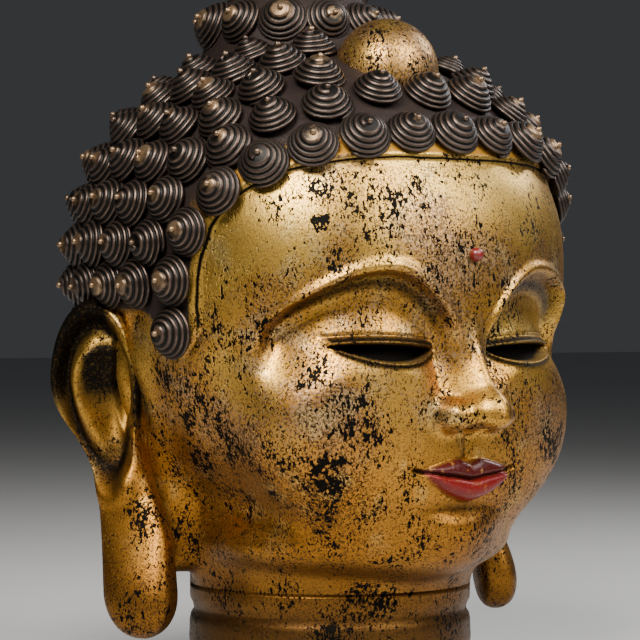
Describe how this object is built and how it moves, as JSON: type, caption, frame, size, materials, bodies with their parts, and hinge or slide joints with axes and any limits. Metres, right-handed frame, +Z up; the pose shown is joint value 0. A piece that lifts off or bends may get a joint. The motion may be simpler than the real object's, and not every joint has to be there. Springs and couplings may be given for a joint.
{
  "type": "buddha head sculpture",
  "caption": "Cast bronze buddha head, gilded and lacquered, with snail-shell curls, crown knot and jewel, long ear lobes and a red forehead bead; cut flat at the neck to stand by itself",
  "frame": {"origin": "the middle of the flat underside, where the neck is cut level, in the plane of symmetry", "axes": "+Z up, the face looks towards -Y, +X is the figure's left"},
  "size_m": [0.3154, 0.3285, 0.4516],
  "materials": {
    "gilt_bronze": "worn gold over brown lacquer on cast bronze, with black specks where the gold is gone; dark brown on the hair",
    "red_lacquer": "red lacquered bead, rubbed at its crown"
  },
  "bodies": {
    "root": {"head": "gilt_bronze", "urna_bead": "red_lacquer"}
  },
  "joints": []
}
